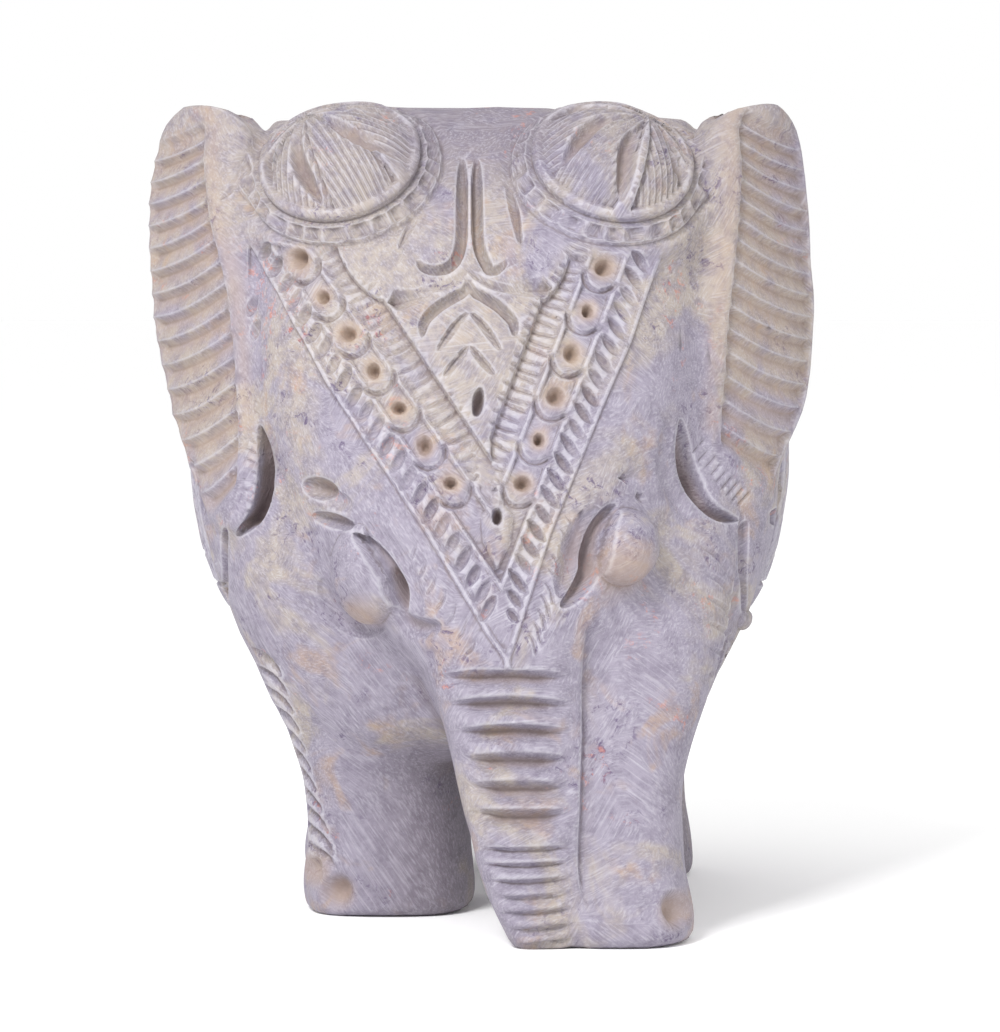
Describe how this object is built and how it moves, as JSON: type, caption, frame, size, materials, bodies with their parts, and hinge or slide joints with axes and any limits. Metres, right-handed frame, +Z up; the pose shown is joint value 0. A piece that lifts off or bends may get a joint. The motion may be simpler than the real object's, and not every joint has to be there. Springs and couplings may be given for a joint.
{
  "type": "soapstone elephant sculpture",
  "caption": "Palm-sized standing elephant carved in pale lavender-grey soapstone, with fluted ears, a V-shaped forehead dress and domed rosettes; it stands on its own feet.",
  "frame": {"origin": "on the ground, under the middle of the elephant's box", "axes": "+Z up, -Y the way the elephant faces, +X the elephant's own left"},
  "size_m": [0.0632, 0.0868, 0.0766],
  "materials": {
    "soapstone": "satin"
  },
  "bodies": {
    "root": {"elephant": "soapstone"}
  },
  "joints": []
}
